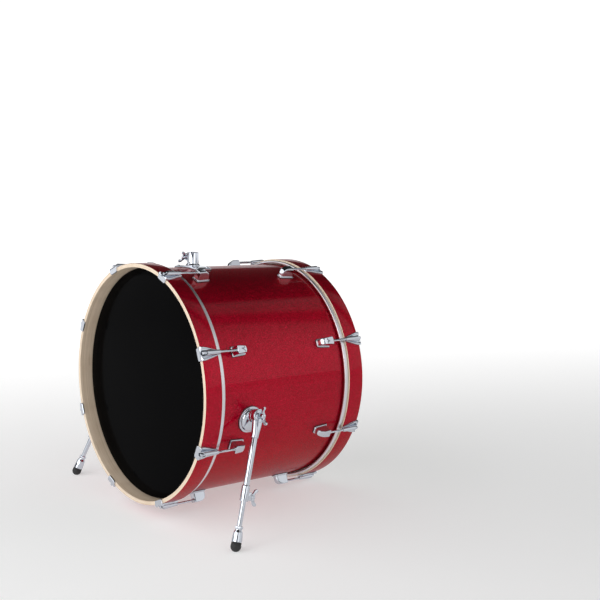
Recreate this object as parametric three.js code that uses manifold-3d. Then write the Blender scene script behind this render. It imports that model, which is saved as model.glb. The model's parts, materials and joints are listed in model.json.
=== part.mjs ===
// Bass drum, 22 by 16 inches, standing on its rear hoop and on two folding spurs.
// Millimetres, +Z up. Every piece is built in the drum's own frame: the origin is the centre of the
// front hoop's front edge, +Y runs along the drum to the batter side, +X points out at the right spur.
// The whole drum is then tipped back to the angle that the spurs give it, with its lowest point at zero.
import * as THREE from 'three';
import { mergeVertices } from 'three/addons/utils/BufferGeometryUtils.js';
import Module from 'manifold-3d';

const wasm = await Module();
wasm.setup();

// Driving dimensions.
const GAP = 0.3; // between pieces that touch
const ROUND_SIDES = 64; // sides of the shell, the hoops and the heads

const SHELL_RADIUS = 278.8;
const SHELL_WALL = 7.5;
const SHELL_DEPTH = 406.4;
const HEAD_RECESS = 33.4; // from a hoop's outer edge in to the head
const HEAD_THICKNESS = 1.2;
const SHELL_FRONT = HEAD_RECESS + HEAD_THICKNESS + GAP;
const DRUM_LENGTH = SHELL_DEPTH + 2 * SHELL_FRONT;

const HOOP_RADIUS = 292;
const HOOP_WALL = 10;
const HOOP_DEPTH = 44.5;
const HOOP_EASE = 1.2; // small bevel on the hoop's edges

const FLESH_RADIUS = 288.5; // the metal ring that the head is crimped in
const FLESH_END = 56;

const STATIONS = 8; // lugs round each end of the shell
const STATION_STEP = 360 / STATIONS;
const ROD_RADIUS = HOOP_RADIUS + 7; // tension rods' distance from the drum's axis

const LUG_START = 90.5;
const LUG_LENGTH = 39;
const LUG_HEIGHT = 26;
const LUG_FLANGE = 3;
const LUG_WIDE = 25;
const LUG_NARROW = 19;
const LUG_FLAT = 18; // length of the casing's level top
const ROD_BORE = 3.45;

const CLAW_FRONT = -3.8;
const CLAW_END = 48;
const CLAW_HEIGHT = 13.5;
const CLAW_CREST = 8; // how far back the claw reaches its full height
const CLAW_LIP_HEIGHT = 7;
const CLAW_WIDE = 33;
const POCKET_DEPTH = 10;
const POCKET_RADIUS = 5.6;

const ROD_SHAFT = 3;
const ROD_COLLAR = 4.9;
const ROD_HEAD = 6.3; // across the square
const ROD_END = 112;

const SPUR_PIVOT = new THREE.Vector3(309, 133, -36.5);
const SPUR_TIP = new THREE.Vector3(367, 31.7, -316.3);
const SPUR_FLANGE_ANGLE = -10.5; // degrees round the shell from level
const SPUR_FLANGE_Y = 136;
const FLANGE_RADIUS = 32;
const FLANGE_HEIGHT = 13;
const KNUCKLE_RADIUS = 16.5;
const KNUCKLE_HALF = 7;
const NECK_END = 50;
const TUBE_RADIUS = 7.2;
const COLLAR_START = 157;
const COLLAR_END = 193;
const COLLAR_RADIUS = 9.4;
const LEG_BORE = 6.25;
const LEG_BORE_TOP = 52;
const INNER_RADIUS = 5.9;
const INNER_TOP = 100;
const NUT_START = 247;
const BELL_START = 254;
const RUBBER_START = 281;
const RUBBER_RADIUS = 12;
const HINGE_WING = 42; // spans of the wing screws
const CLAMP_WING = 33;

const MOUNT_Y = 158;
const MOUNT_PLATE = [100, 48]; // round the shell, along the shell
const MOUNT_PLATE_TOP = SHELL_RADIUS + 4.5;
const RECEIVER_RADIUS = 14.5;
const RECEIVER_TOP = MOUNT_PLATE_TOP + 33;
const POST_RADIUS = 11.3; // bore for a 22.2 mm tom post

const degrees = THREE.MathUtils.degToRad;

// ---- From three.js geometry to solids and back --------------------------------------------------

function toSolid(geometry, matrix = new THREE.Matrix4()) {
  const bare = geometry.clone();
  bare.deleteAttribute('normal');
  bare.deleteAttribute('uv');
  bare.applyMatrix4(matrix);
  const merged = mergeVertices(bare, 1e-4);
  const index = Array.from(merged.index.array);
  const triVerts = [];
  for (let i = 0; i < index.length; i += 3) {
    const [a, b, c] = index.slice(i, i + 3);
    if (a !== b && b !== c && c !== a) triVerts.push(a, b, c);
  }
  return new wasm.Manifold(new wasm.Mesh({
    numProp: 3,
    vertProperties: new Float32Array(merged.attributes.position.array),
    triVerts: new Uint32Array(triVerts),
  }));
}

function toGeometry(solid) {
  const mesh = solid.getMesh();
  const geometry = new THREE.BufferGeometry();
  geometry.setAttribute('position', new THREE.BufferAttribute(new Float32Array(mesh.vertProperties), 3));
  geometry.setIndex(new THREE.BufferAttribute(new Uint32Array(mesh.triVerts), 1));
  geometry.computeVertexNormals();
  return geometry;
}

const union = (...solids) => solids.reduce((sum, next) => sum.add(next));

// A frame with its own x, y and z axes, placed at a point.
function frameAt(origin, x, y, z) {
  return new THREE.Matrix4().makeBasis(x, y, z).setPosition(origin);
}

// ---- Shapes ------------------------------------------------------------------------------------

// Turns a profile of [radius, height] points about Y. A profile that leaves the axis is closed.
function revolve(profile, sides) {
  const points = profile.map(([radius, height]) => new THREE.Vector2(radius, height));
  if (THREE.ShapeUtils.area(points) < 0) points.reverse();
  if (points[0].x > 0) points.push(points[0].clone());
  return new THREE.LatheGeometry(points, sides);
}

const X = new THREE.Vector3(1, 0, 0);
const Y = new THREE.Vector3(0, 1, 0);
const Z = new THREE.Vector3(0, 0, 1);

// A profile turned about a line: its heights run along the given direction from the origin.
function turned(profile, sides, origin, direction) {
  const side = Math.abs(direction.y) > 0.9 ? X : Y;
  const x = new THREE.Vector3().crossVectors(side, direction).normalize();
  const y = direction.clone().normalize();
  const z = new THREE.Vector3().crossVectors(x, y);
  return toSolid(revolve(profile, sides), frameAt(origin, x, y, z));
}

// A plain round bar from one height to another along a direction.
function bar(radius, from, to, sides, origin, direction) {
  return turned([[0, from], [radius, from], [radius, to], [0, to]], sides, origin, direction);
}

// A polygon whose corners are rounded.
function roundedShape(corners, radius) {
  const shape = new THREE.Shape();
  corners.forEach((corner, i) => {
    const here = new THREE.Vector2(...corner);
    const before = new THREE.Vector2(...corners.at(i - 1));
    const after = new THREE.Vector2(...corners[(i + 1) % corners.length]);
    const start = here.clone().add(before.sub(here).setLength(radius));
    const end = here.clone().add(after.sub(here).setLength(radius));
    if (i === 0) shape.moveTo(start.x, start.y);
    else shape.lineTo(start.x, start.y);
    shape.quadraticCurveTo(here.x, here.y, end.x, end.y);
  });
  shape.closePath();
  return shape;
}

function extruded(shape, depth, matrix) {
  const options = { depth, bevelEnabled: false, curveSegments: 2 };
  return toSolid(new THREE.ExtrudeGeometry(shape, options), matrix);
}

// A solid skinned over cross sections that have the same number of corners.
function loft(sections) {
  const count = sections[0].length;
  const corners = sections.flat();
  const index = [];
  for (let s = 0; s + 1 < sections.length; s += 1) {
    for (let i = 0; i < count; i += 1) {
      const a = s * count + i;
      const b = s * count + ((i + 1) % count);
      index.push(a, b, b + count, a, b + count, a + count);
    }
  }
  const last = (sections.length - 1) * count;
  for (let i = 1; i + 1 < count; i += 1) {
    index.push(0, i + 1, i, last, last + i, last + i + 1);
  }
  const geometry = new THREE.BufferGeometry();
  geometry.setAttribute('position', new THREE.Float32BufferAttribute(corners.flat(), 3));
  geometry.setIndex(index);
  return toSolid(geometry);
}

function block(low, high, matrix) {
  const size = high.map((value, i) => value - low[i]);
  const geometry = new THREE.BoxGeometry(...size);
  geometry.translate(...high.map((value, i) => (value + low[i]) / 2));
  return toSolid(geometry, matrix);
}

// The space that the shell fills, for seating fittings on its curve.
const shellSpace = toSolid(revolve(
  [[0, 0], [SHELL_RADIUS + GAP, 0], [SHELL_RADIUS + GAP, DRUM_LENGTH], [0, DRUM_LENGTH]], ROUND_SIDES));

// ---- Shell, hoops and heads --------------------------------------------------------------------

function shell() {
  const inner = SHELL_RADIUS - SHELL_WALL;
  const end = SHELL_FRONT + SHELL_DEPTH;
  const edge = [[inner, 5], [SHELL_RADIUS - 3, 0], [SHELL_RADIUS, 3.4]];
  const tube = toSolid(revolve([
    ...edge.map(([radius, step]) => [radius, SHELL_FRONT + step]),
    ...edge.toReversed().map(([radius, step]) => [radius, end - step]),
  ], ROUND_SIDES));
  return tube.subtract(bar(POST_RADIUS + 1, 200, 300, 16, new THREE.Vector3(0, MOUNT_Y, 0), Z));
}

function hoop() {
  const inner = HOOP_RADIUS - HOOP_WALL;
  return toSolid(revolve([
    [inner + HOOP_EASE, 0], [HOOP_RADIUS - HOOP_EASE, 0], [HOOP_RADIUS, HOOP_EASE],
    [HOOP_RADIUS, HOOP_DEPTH], [inner, HOOP_DEPTH], [inner, HOOP_EASE],
  ], ROUND_SIDES));
}

// The film runs over the bearing edge, down outside it and into the crimped metal ring.
function head() {
  const collar = HOOP_RADIUS - HOOP_WALL - GAP;
  const back = HEAD_RECESS + HEAD_THICKNESS;
  const clear = SHELL_RADIUS + GAP;
  return toSolid(revolve([
    [0, HEAD_RECESS], [collar - 3, HEAD_RECESS], [collar, HEAD_RECESS + 3],
    [collar, HOOP_DEPTH + GAP], [FLESH_RADIUS, HOOP_DEPTH + GAP], [FLESH_RADIUS, FLESH_END],
    [clear, FLESH_END], [clear, back + 2.6], [clear - 2.3, back], [0, back],
  ], ROUND_SIDES));
}

// ---- Lugs, claws and tension rods, made for the station on +X ------------------------------------

// A lug's outline seen from outside the drum, wide towards the hoop.
function lugPlan(inset) {
  const start = LUG_START + inset;
  const end = LUG_START + LUG_LENGTH - inset;
  const wide = LUG_WIDE / 2 - inset;
  const narrow = LUG_NARROW / 2 - inset;
  return roundedShape([[start, -wide], [end, -narrow], [end, narrow], [start, wide]], 3);
}

function lug() {
  const foot = SHELL_RADIUS - 4;
  const outward = (radius) => frameAt(new THREE.Vector3(radius, 0, 0), Y, Z, X);
  const flange = extruded(lugPlan(0), 4 + LUG_FLANGE, outward(foot));
  const casing = extruded(lugPlan(LUG_FLANGE - 0.4), 4 + LUG_HEIGHT, outward(foot));

  const top = SHELL_RADIUS + LUG_HEIGHT;
  const round = new THREE.Shape();
  const roundLength = LUG_LENGTH - LUG_FLAT - LUG_FLANGE;
  round.moveTo(LUG_START, foot);
  round.lineTo(LUG_START + LUG_LENGTH, foot);
  round.lineTo(LUG_START + LUG_LENGTH - LUG_FLANGE, foot + 8);
  for (const turn of [22, 45, 68, 90]) {
    round.lineTo(LUG_START + LUG_FLAT + roundLength * Math.cos(degrees(turn)),
      foot + 8 + (top - foot - 8) * Math.sin(degrees(turn)));
  }
  round.lineTo(LUG_START + 4, top);
  round.lineTo(LUG_START, top - 6);
  const side = extruded(round, LUG_WIDE,
    frameAt(new THREE.Vector3(0, 0, LUG_WIDE / 2), Y, X, Z.clone().negate()));

  const bore = bar(ROD_BORE, 0, ROD_END + 2, 8, new THREE.Vector3(ROD_RADIUS, 0, 0), Y);
  return flange.add(casing.intersect(side)).subtract(shellSpace).subtract(bore);
}

function claw() {
  const seat = HOOP_RADIUS + GAP;
  const section = (y, wide, edge, height, topWide) => [
    [seat, y, -wide], [seat, y, wide], [seat + edge, y, wide],
    [seat + height, y, topWide], [seat + height, y, -topWide], [seat + edge, y, -wide],
  ];
  const body = loft([
    section(CLAW_FRONT, CLAW_WIDE / 2, 3.5, CLAW_LIP_HEIGHT, 11),
    section(CLAW_CREST, CLAW_WIDE / 2 - 2.4, 3.4, CLAW_HEIGHT, 8.5),
    section(CLAW_END - 8, 7.5, 2.5, CLAW_HEIGHT - 2.2, 5.2),
    section(CLAW_END, 5.2, 2, CLAW_HEIGHT - 3, 4.2),
  ]);
  const inner = HOOP_RADIUS - HOOP_WALL - 1.5;
  const lip = extruded(
    roundedShape([[inner, -14.5], [seat + 2, -CLAW_WIDE / 2], [seat + 2, CLAW_WIDE / 2], [inner, 14.5]], 2),
    -GAP - CLAW_FRONT, frameAt(new THREE.Vector3(0, -GAP, 0), X, Z, Y.clone().negate()));
  const axis = new THREE.Vector3(ROD_RADIUS, 0, 0);
  const pocket = bar(POCKET_RADIUS, CLAW_FRONT - 1, POCKET_DEPTH, 12, axis, Y);
  const bore = bar(ROD_BORE, 0, CLAW_END + 1, 8, axis, Y);
  return union(body, lip).subtract(pocket).subtract(bore);
}

function tensionRod() {
  const axis = new THREE.Vector3(ROD_RADIUS, 0, 0);
  const half = ROD_HEAD / 2;
  const head = block([-half, -1, -half], [half, POCKET_DEPTH - 2, half],
    new THREE.Matrix4().setPosition(axis));
  const shaft = turned([
    [0, POCKET_DEPTH - 3], [ROD_COLLAR, POCKET_DEPTH - 3], [ROD_COLLAR, POCKET_DEPTH - GAP],
    [ROD_SHAFT, POCKET_DEPTH - GAP], [ROD_SHAFT, ROD_END], [0, ROD_END],
  ], 8, axis, Y);
  return head.add(shaft);
}

// ---- Spurs, made for the right side --------------------------------------------------------------

const legDirection = SPUR_TIP.clone().sub(SPUR_PIVOT).normalize();
const legLength = SPUR_TIP.distanceTo(SPUR_PIVOT);
// The hinge axis is square to the leg and to the drum's axis, and points outwards.
const hingeAxis = new THREE.Vector3().crossVectors(legDirection, Y).normalize();
const legFore = new THREE.Vector3().crossVectors(legDirection, hingeAxis);
// The leg's own frame: x along the hinge axis, y to the front, z down the leg.
const legFrame = frameAt(SPUR_PIVOT, hingeAxis, legFore, legDirection);

// The drum tips back until the rear hoop and both spur tips are on the floor.
const tilt = Math.atan2(-SPUR_TIP.z - HOOP_RADIUS, DRUM_LENGTH - SPUR_TIP.y);

// A wing screw: a hub and a shank along a direction, and a flat wing of a given span across it.
function wingScrew(origin, direction, wingAlong, span, start, wingAt) {
  const across = new THREE.Vector3().crossVectors(wingAlong, direction);
  const tip = span / 2;
  const shank = turned([[0, start], [5.5, start], [5.5, wingAt - 9], [4, wingAt], [0, wingAt]],
    8, origin, direction);
  const outline = roundedShape([
    [-6, -8], [6, -8], [tip, 1], [tip - 0.5, 8], [8, 6], [-8, 6], [0.5 - tip, 8], [-tip, 1]], 2);
  const centre = origin.clone().addScaledVector(direction, wingAt).addScaledVector(across, -2);
  return shank.add(extruded(outline, 4, frameAt(centre, wingAlong, direction, across.clone())));
}

function spurBracket() {
  const angle = degrees(SPUR_FLANGE_ANGLE);
  const outward = new THREE.Vector3(Math.cos(angle), 0, Math.sin(angle));
  const flange = turned([
    [0, -8], [FLANGE_RADIUS, -8], [FLANGE_RADIUS, 3], [FLANGE_RADIUS - 4, 7],
    [FLANGE_RADIUS - 13, FLANGE_HEIGHT], [0, FLANGE_HEIGHT],
  ], 24, outward.clone().multiplyScalar(SHELL_RADIUS).setY(SPUR_FLANGE_Y), outward);
  const ratchet = bar(KNUCKLE_RADIUS, -42, -KNUCKLE_HALF - GAP, 20, SPUR_PIVOT, hingeAxis);
  return flange.add(ratchet).subtract(shellSpace);
}

// The clamp's wing screw lies along wingAlong.
function spurLeg(wingAlong) {
  const inLeg = (x, y, z) => new THREE.Vector3(x, y, z).applyMatrix4(legFrame);
  const knuckle = turned([
    [0, -KNUCKLE_HALF], [KNUCKLE_RADIUS, -KNUCKLE_HALF], [KNUCKLE_RADIUS, KNUCKLE_HALF - 2],
    [KNUCKLE_RADIUS - 2, KNUCKLE_HALF], [0, KNUCKLE_HALF],
  ], 20, SPUR_PIVOT, hingeAxis);
  const section = (z, x, y) => [[-x, -y + 2, z], [-x + 2, -y, z], [x - 2, -y, z], [x, -y + 2, z],
    [x, y - 2, z], [x - 2, y, z], [-x + 2, y, z], [-x, y - 2, z]];
  const neck = loft([section(6, 6.6, 12), section(NECK_END, 6.6, 7.8)]
    .map((corners) => corners.map((corner) => inLeg(...corner).toArray())));
  const tube = turned([
    [0, 20], [TUBE_RADIUS, 20], [TUBE_RADIUS, COLLAR_START], [COLLAR_RADIUS, COLLAR_START + 3],
    [COLLAR_RADIUS, COLLAR_END], [0, COLLAR_END],
  ], 16, SPUR_PIVOT, legDirection);
  const clampAt = COLLAR_END - 13;
  const ear = block([-5.5, -16, clampAt - 9], [5.5, -4, clampAt + 9], legFrame);
  const clampScrew = wingScrew(
    inLeg(0, 0, clampAt), legFore.clone().negate(), wingAlong, CLAMP_WING, 15, 29);
  const upright = legDirection.clone().applyAxisAngle(hingeAxis, Math.asin(-legDirection.y));
  const hingeScrew = wingScrew(SPUR_PIVOT, hingeAxis, upright, HINGE_WING, KNUCKLE_HALF - 1, 27);
  const bore = bar(LEG_BORE, LEG_BORE_TOP, COLLAR_END + 1, 16, SPUR_PIVOT, legDirection);
  return union(knuckle, neck, tube, ear, clampScrew, hingeScrew).subtract(bore);
}

// The inner rod with its nut, bell cup and rubber tip, worn flat where it meets the floor.
function spurRod() {
  const ballCentre = legLength - RUBBER_RADIUS;
  const ball = [0, 25, 50, 72].map((turn) => [RUBBER_RADIUS * Math.cos(degrees(turn)),
    ballCentre + RUBBER_RADIUS * Math.sin(degrees(turn))]);
  const rod = turned([
    [0, INNER_TOP], [INNER_RADIUS, INNER_TOP], [INNER_RADIUS, NUT_START], [8.8, NUT_START],
    [8.8, BELL_START - 1], [7.5, BELL_START], [11, RUBBER_START], [RUBBER_RADIUS, RUBBER_START],
    ...ball, [0, legLength],
  ], 16, SPUR_PIVOT, legDirection);
  const floor = new THREE.Matrix4().makeRotationX(tilt).setPosition(SPUR_TIP);
  return rod.subtract(block([-60, -60, -40], [60, 60, 0], floor));
}

// ---- Tom mount on top of the shell ---------------------------------------------------------------

function tomMount() {
  const centre = new THREE.Vector3(0, MOUNT_Y, 0);
  const [wide, long] = MOUNT_PLATE;
  const outline = roundedShape([[-wide / 2, -long / 2], [wide / 2, -long / 2], [wide / 2, long / 2],
    [-wide / 2, long / 2]], 6);
  const plateFoot = SHELL_RADIUS - 6;
  const plateSpace = toSolid(revolve(
    [[0, 0], [MOUNT_PLATE_TOP, 0], [MOUNT_PLATE_TOP, DRUM_LENGTH], [0, DRUM_LENGTH]], ROUND_SIDES));
  const plate = extruded(outline, 60, new THREE.Matrix4().setPosition(0, MOUNT_Y, SHELL_RADIUS - 50))
    .intersect(plateSpace);
  const receiver = turned([
    [0, plateFoot], [RECEIVER_RADIUS + 3, plateFoot], [RECEIVER_RADIUS + 3, MOUNT_PLATE_TOP + 2],
    [RECEIVER_RADIUS, MOUNT_PLATE_TOP + 5], [RECEIVER_RADIUS, RECEIVER_TOP], [0, RECEIVER_TOP],
  ], 24, centre, Z);
  const clampZ = RECEIVER_TOP - 13;
  const there = new THREE.Matrix4().setPosition(centre);
  const ears = block([-25, -7.5, clampZ - 9], [-8, 7.5, clampZ + 9], there);
  const slot = block([-30, -1.5, MOUNT_PLATE_TOP + 6], [-5, 1.5, RECEIVER_TOP + 1], there);
  const screw = wingScrew(new THREE.Vector3(-19.5, MOUNT_Y, clampZ), Y.clone().negate(),
    new THREE.Vector3(0.6, 0, 0.8), CLAMP_WING, 6, 25);
  const bore = bar(POST_RADIUS, plateFoot - 1, RECEIVER_TOP + 1, 24, centre, Z);
  return union(plate, receiver, ears).subtract(slot).add(screw).subtract(bore).subtract(shellSpace);
}

// ---- Assembly ------------------------------------------------------------------------------------

const FINISHES = {
  lacquer: { color: 0xa5101f, roughness: 0.22, metalness: 0.25 },
  blackFilm: { color: 0x0c0c0d, roughness: 0.12, metalness: 0 },
  whiteFilm: { color: 0xe9e8e2, roughness: 0.55, metalness: 0 },
  chrome: { color: 0xd5d8dc, roughness: 0.12, metalness: 1 },
  rubber: { color: 0x151515, roughness: 0.8, metalness: 0 },
};

function addPiece(parent, name, geometry, finish) {
  const mesh = new THREE.Mesh(geometry, new THREE.MeshStandardMaterial(FINISHES[finish]));
  mesh.name = name;
  parent.add(mesh);
  return mesh;
}

// Turns a piece made for the front end into the same piece for the batter end.
function toRear(mesh) {
  mesh.rotation.x = Math.PI;
  mesh.position.y = DRUM_LENGTH;
}

function mirrored(geometry) {
  const copy = geometry.clone().scale(-1, 1, 1);
  const index = copy.index.array;
  for (let i = 0; i < index.length; i += 3) [index[i], index[i + 1]] = [index[i + 1], index[i]];
  copy.computeVertexNormals();
  return copy;
}

const drum = new THREE.Group();
addPiece(drum, 'shell', toGeometry(shell()), 'lacquer');

const hoopGeometry = toGeometry(hoop());
addPiece(drum, 'front_hoop', hoopGeometry, 'lacquer');
toRear(addPiece(drum, 'rear_hoop', hoopGeometry, 'lacquer'));

const headGeometry = toGeometry(head());
addPiece(drum, 'front_head', headGeometry, 'blackFilm');
toRear(addPiece(drum, 'rear_head', headGeometry, 'whiteFilm'));

const fittings = {
  lug: toGeometry(lug()),
  claw: toGeometry(claw()),
  tension_rod: toGeometry(tensionRod()),
};
for (let k = 0; k < STATIONS; k += 1) {
  const station = new THREE.Group();
  station.rotation.y = -degrees(STATION_STEP * (k + 0.5));
  drum.add(station);
  for (const [kind, geometry] of Object.entries(fittings)) {
    addPiece(station, `front_${kind}_${k + 1}`, geometry, 'chrome');
    toRear(addPiece(station, `rear_${kind}_${k + 1}`, geometry, 'chrome'));
  }
}

const bracketGeometry = toGeometry(spurBracket());
const spurRodGeometry = toGeometry(spurRod());
// The two clamp screws are tightened to different angles: one along its leg, the other across it.
const spurParts = {
  right: { spur_bracket: bracketGeometry, spur_leg: toGeometry(spurLeg(legDirection)), spur_rod: spurRodGeometry },
  left: {
    spur_bracket: mirrored(bracketGeometry),
    spur_leg: mirrored(toGeometry(spurLeg(hingeAxis))),
    spur_rod: mirrored(spurRodGeometry),
  },
};
for (const [side, geometries] of Object.entries(spurParts)) {
  for (const [kind, geometry] of Object.entries(geometries)) {
    addPiece(drum, `${side}_${kind}`, geometry, 'chrome');
  }
}

addPiece(drum, 'tom_mount', toGeometry(tomMount()), 'chrome');

// Tip the drum back and put the origin under the middle of its outline, on the floor.
drum.rotation.x = -tilt;
const bounds = new THREE.Box3().setFromObject(drum, true);
const middle = bounds.getCenter(new THREE.Vector3());
drum.position.set(-middle.x, -middle.y, -bounds.min.z);

const part = new THREE.Group();
part.add(drum);
export default part;
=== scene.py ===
import json
import math

import bmesh
import bpy
from mathutils import Matrix, Vector


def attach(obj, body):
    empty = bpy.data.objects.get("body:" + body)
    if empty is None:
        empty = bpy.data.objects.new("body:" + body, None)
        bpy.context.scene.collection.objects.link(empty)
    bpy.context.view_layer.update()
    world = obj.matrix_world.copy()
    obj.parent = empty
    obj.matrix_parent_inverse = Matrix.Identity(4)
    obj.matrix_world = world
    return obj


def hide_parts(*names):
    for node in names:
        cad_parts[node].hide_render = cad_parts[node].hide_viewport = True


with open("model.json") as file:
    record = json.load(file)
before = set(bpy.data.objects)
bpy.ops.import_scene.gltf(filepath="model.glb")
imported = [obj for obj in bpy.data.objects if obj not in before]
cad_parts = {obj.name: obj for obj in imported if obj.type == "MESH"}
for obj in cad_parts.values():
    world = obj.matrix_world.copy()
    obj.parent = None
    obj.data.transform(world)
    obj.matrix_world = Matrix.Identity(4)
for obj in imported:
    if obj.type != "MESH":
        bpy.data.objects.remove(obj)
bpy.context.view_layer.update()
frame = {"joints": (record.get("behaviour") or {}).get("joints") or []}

# ---- The drum's own frame ------------------------------------------------------------------------
# Pieces are modelled in millimetres in the drum's frame: the origin is the centre of the front hoop's
# front edge, Y runs along the drum to the batter side, X points out at the right spur. DRUM takes that
# frame to the row frame in metres. The tension rods' joints say where it is.
STATIONS = 8
ROD_JOINT_INSET = 0.060  # from a hoop's outer edge in to its rods' joints

joints = {joint["name"]: joint for joint in frame["joints"]}


def rod_ring(end):
    """Centre and direction of the ring of tension rod joints at one end of the drum."""
    ring = [joints[f"tension_rod_turn_{end}_{k}"] for k in range(1, STATIONS + 1)]
    centre = sum((Vector(joint["pos_m"]) for joint in ring), Vector()) / STATIONS
    return centre, Vector(ring[0]["axis"]).normalized()


front_centre, ALONG = rod_ring("front")
rear_centre, _ = rod_ring("rear")
LENGTH = ((rear_centre - front_centre).length + 2 * ROD_JOINT_INSET) * 1000
UP = Vector((1, 0, 0)).cross(ALONG)
MILLIMETRES = Matrix.Scale(0.001, 4)
DRUM = Matrix.Translation(front_centre - ALONG * ROD_JOINT_INSET) @ Matrix(
    ((1, 0, 0), ALONG, UP)).transposed().to_4x4()
TO_REAR = Matrix.Translation((0, LENGTH / 1000, 0)) @ Matrix.Rotation(math.pi, 4, "X")

# Driving dimensions, in millimetres.
SHELL_RADIUS = 278.8
SHELL_WALL = 7.5
HEAD_RECESS = 33.4  # from a hoop's outer edge in to the head
HEAD_FILM = 0.6
HOOP_RADIUS = 292
HOOP_WALL = 10
HOOP_DEPTH = 44.5
FLESH_RADIUS = 288.5
FLESH_END = 56
ROD_RADIUS = HOOP_RADIUS + 7
SEAT = HOOP_RADIUS + 0.3  # where a claw sits on the hoop

LUG_START = 90.5
LUG_LENGTH = 39
LUG_HEIGHT = 26
LUG_WIDE = 25
LUG_NARROW = 19
SCREW_OFFSET = 12  # of the mounting screws from the lug's middle
GASKET = 0.9

CLAW_FRONT = -3.8
CLAW_END = 48
CLAW_WIDE = 33
LIP_RADIUS = HOOP_RADIUS - HOOP_WALL - 1.5  # how far in the claw's front lip reaches
TUBE_FRONT = 6.8  # radius of the claw's tube for the rod, at its two ends
TUBE_REAR = 4.9
POCKET_RADIUS = 5.5
POCKET_DEPTH = 10

ROD_SHAFT = 2.9
ROD_COLLAR = 4.9
ROD_HEAD = 6.2  # across the square
ROD_END = 112
THREAD_START = 66
THREAD_PITCH = 1.06

MOUNT_Y = 158  # middle of the tom mount


# ---- Outlines ------------------------------------------------------------------------------------

def eased(corners, radius, steps=4, closed=True):
    """The outline with its corners rounded. A corner may carry its own radius as a third number."""
    points = [Vector(corner[:2]) for corner in corners]
    radii = [corner[2] if len(corner) > 2 else radius for corner in corners]
    out = []
    for i, here in enumerate(points):
        if radii[i] <= 0 or (not closed and i in (0, len(points) - 1)):
            out.append(here)
            continue
        before = points[i - 1] - here
        after = points[(i + 1) % len(points)] - here
        half = before.angle(after) / 2
        reach = min(radii[i] / math.tan(half), before.length * 0.49, after.length * 0.49)
        start, end = here + before.normalized() * reach, here + after.normalized() * reach
        middle = here + (before.normalized() + after.normalized()).normalized() * (reach / math.cos(half))
        first, last = start - middle, end - middle
        out += [middle + first.slerp(last, step / steps) * first.length for step in range(steps + 1)]
    return [(p.x, p.y) for p in out]


def resampled(outline, count):
    """The closed outline as a given number of evenly spaced points, with its corners kept rounded."""
    points = [Vector(p) for p in outline]
    sides = [(points[(i + 1) % len(points)] - p).length for i, p in enumerate(points)]
    step, out, i, passed = sum(sides) / count, [], 0, 0.0
    for n in range(count):
        while passed + sides[i] < n * step:
            passed += sides[i]
            i += 1
        out.append(points[i].lerp(points[(i + 1) % len(points)], (n * step - passed) / sides[i]))
    return [(p.x, p.y) for p in out]


def smooth(t):
    t = min(max(t, 0.0), 1.0)
    return t * t * (3 - 2 * t)


# ---- Meshes --------------------------------------------------------------------------------------

def built(name, vertices, faces, sharp=35):
    """A closed mesh, facing outwards, shaded smooth up to an angle in degrees."""
    mesh = bpy.data.meshes.new(name)
    mesh.from_pydata([tuple(v) for v in vertices], [], faces)
    return tidied(mesh, sharp)


def tidied(mesh, sharp=35):
    work = bmesh.new()
    work.from_mesh(mesh)
    bmesh.ops.remove_doubles(work, verts=work.verts, dist=1e-4)
    bmesh.ops.recalc_face_normals(work, faces=work.faces)
    if work.calc_volume(signed=True) < 0:
        bmesh.ops.reverse_faces(work, faces=work.faces)
    work.to_mesh(mesh)
    work.free()
    mesh.shade_smooth()
    mesh.set_sharp_from_angle(angle=math.radians(sharp))
    return mesh


def skin(name, rings, caps=True, wrap=False, sharp=35):
    """A mesh skinned over rings that have the same number of points."""
    count = len(rings[0])
    faces = []
    for s in range(len(rings) if wrap else len(rings) - 1):
        a, b = s * count, (s + 1) % len(rings) * count
        for i in range(count):
            j = (i + 1) % count
            faces.append((a + i, a + j, b + j, b + i))
    if caps and not wrap:
        last = (len(rings) - 1) * count
        faces += [tuple(range(count)), tuple(range(last, last + count))]
    return built(name, [p for ring in rings for p in ring], faces, sharp)


def lathed(name, profile, sides, place=Matrix.Identity(4), sharp=35):
    """A profile of (radius, height) points turned about Y. It closes on itself unless it is on the axis."""
    def spin(radius, height, n):
        turn = math.tau * n / sides
        return place @ Vector((radius * math.cos(turn), height, radius * math.sin(turn)))
    if profile[0][0] > 0:
        rings = [[spin(r, h, n) for r, h in profile] for n in range(sides)]
        return skin(name, rings, wrap=True, sharp=sharp)
    body = profile[1:-1]
    vertices = [place @ Vector((0, profile[0][1], 0)), place @ Vector((0, profile[-1][1], 0))]
    vertices += [spin(r, h, n) for r, h in body for n in range(sides)]
    faces = []
    for n in range(sides):
        m = (n + 1) % sides
        faces.append((0, 2 + n, 2 + m))
        last = 2 + (len(body) - 1) * sides
        faces.append((1, last + m, last + n))
        for row in range(len(body) - 1):
            a, b = 2 + row * sides, 2 + (row + 1) * sides
            faces.append((a + n, b + n, b + m, a + m))
    return built(name, vertices, faces, sharp)


def prism(name, outline, depth, place, ease=0.6):
    """An outline in X and Y given a depth along Z, with its edges rounded."""
    steps = 3
    turns = [math.pi / 2 * k / steps for k in range(steps + 1)]
    levels = [(ease * (1 - math.sin(turn)), ease * (1 - math.cos(turn))) for turn in turns]
    levels += [(inset, depth - z) for inset, z in reversed(levels)]
    rings = []
    for inset, z in levels:
        ring = inset_outline(outline, inset)
        rings.append([place @ Vector((x, y, z)) for x, y in ring])
    return skin(name, rings)


def inset_outline(outline, inset):
    """The outline moved inwards along its own normals."""
    points = [Vector(p) for p in outline]
    turn = sum(points[i - 1].x * p.y - p.x * points[i - 1].y for i, p in enumerate(points))
    side = 1 if turn > 0 else -1
    out = []
    for i, p in enumerate(points):
        along = (points[(i + 1) % len(points)] - points[i - 1]).normalized()
        out.append((p.x - along.y * side * inset, p.y + along.x * side * inset))
    return out


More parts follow.
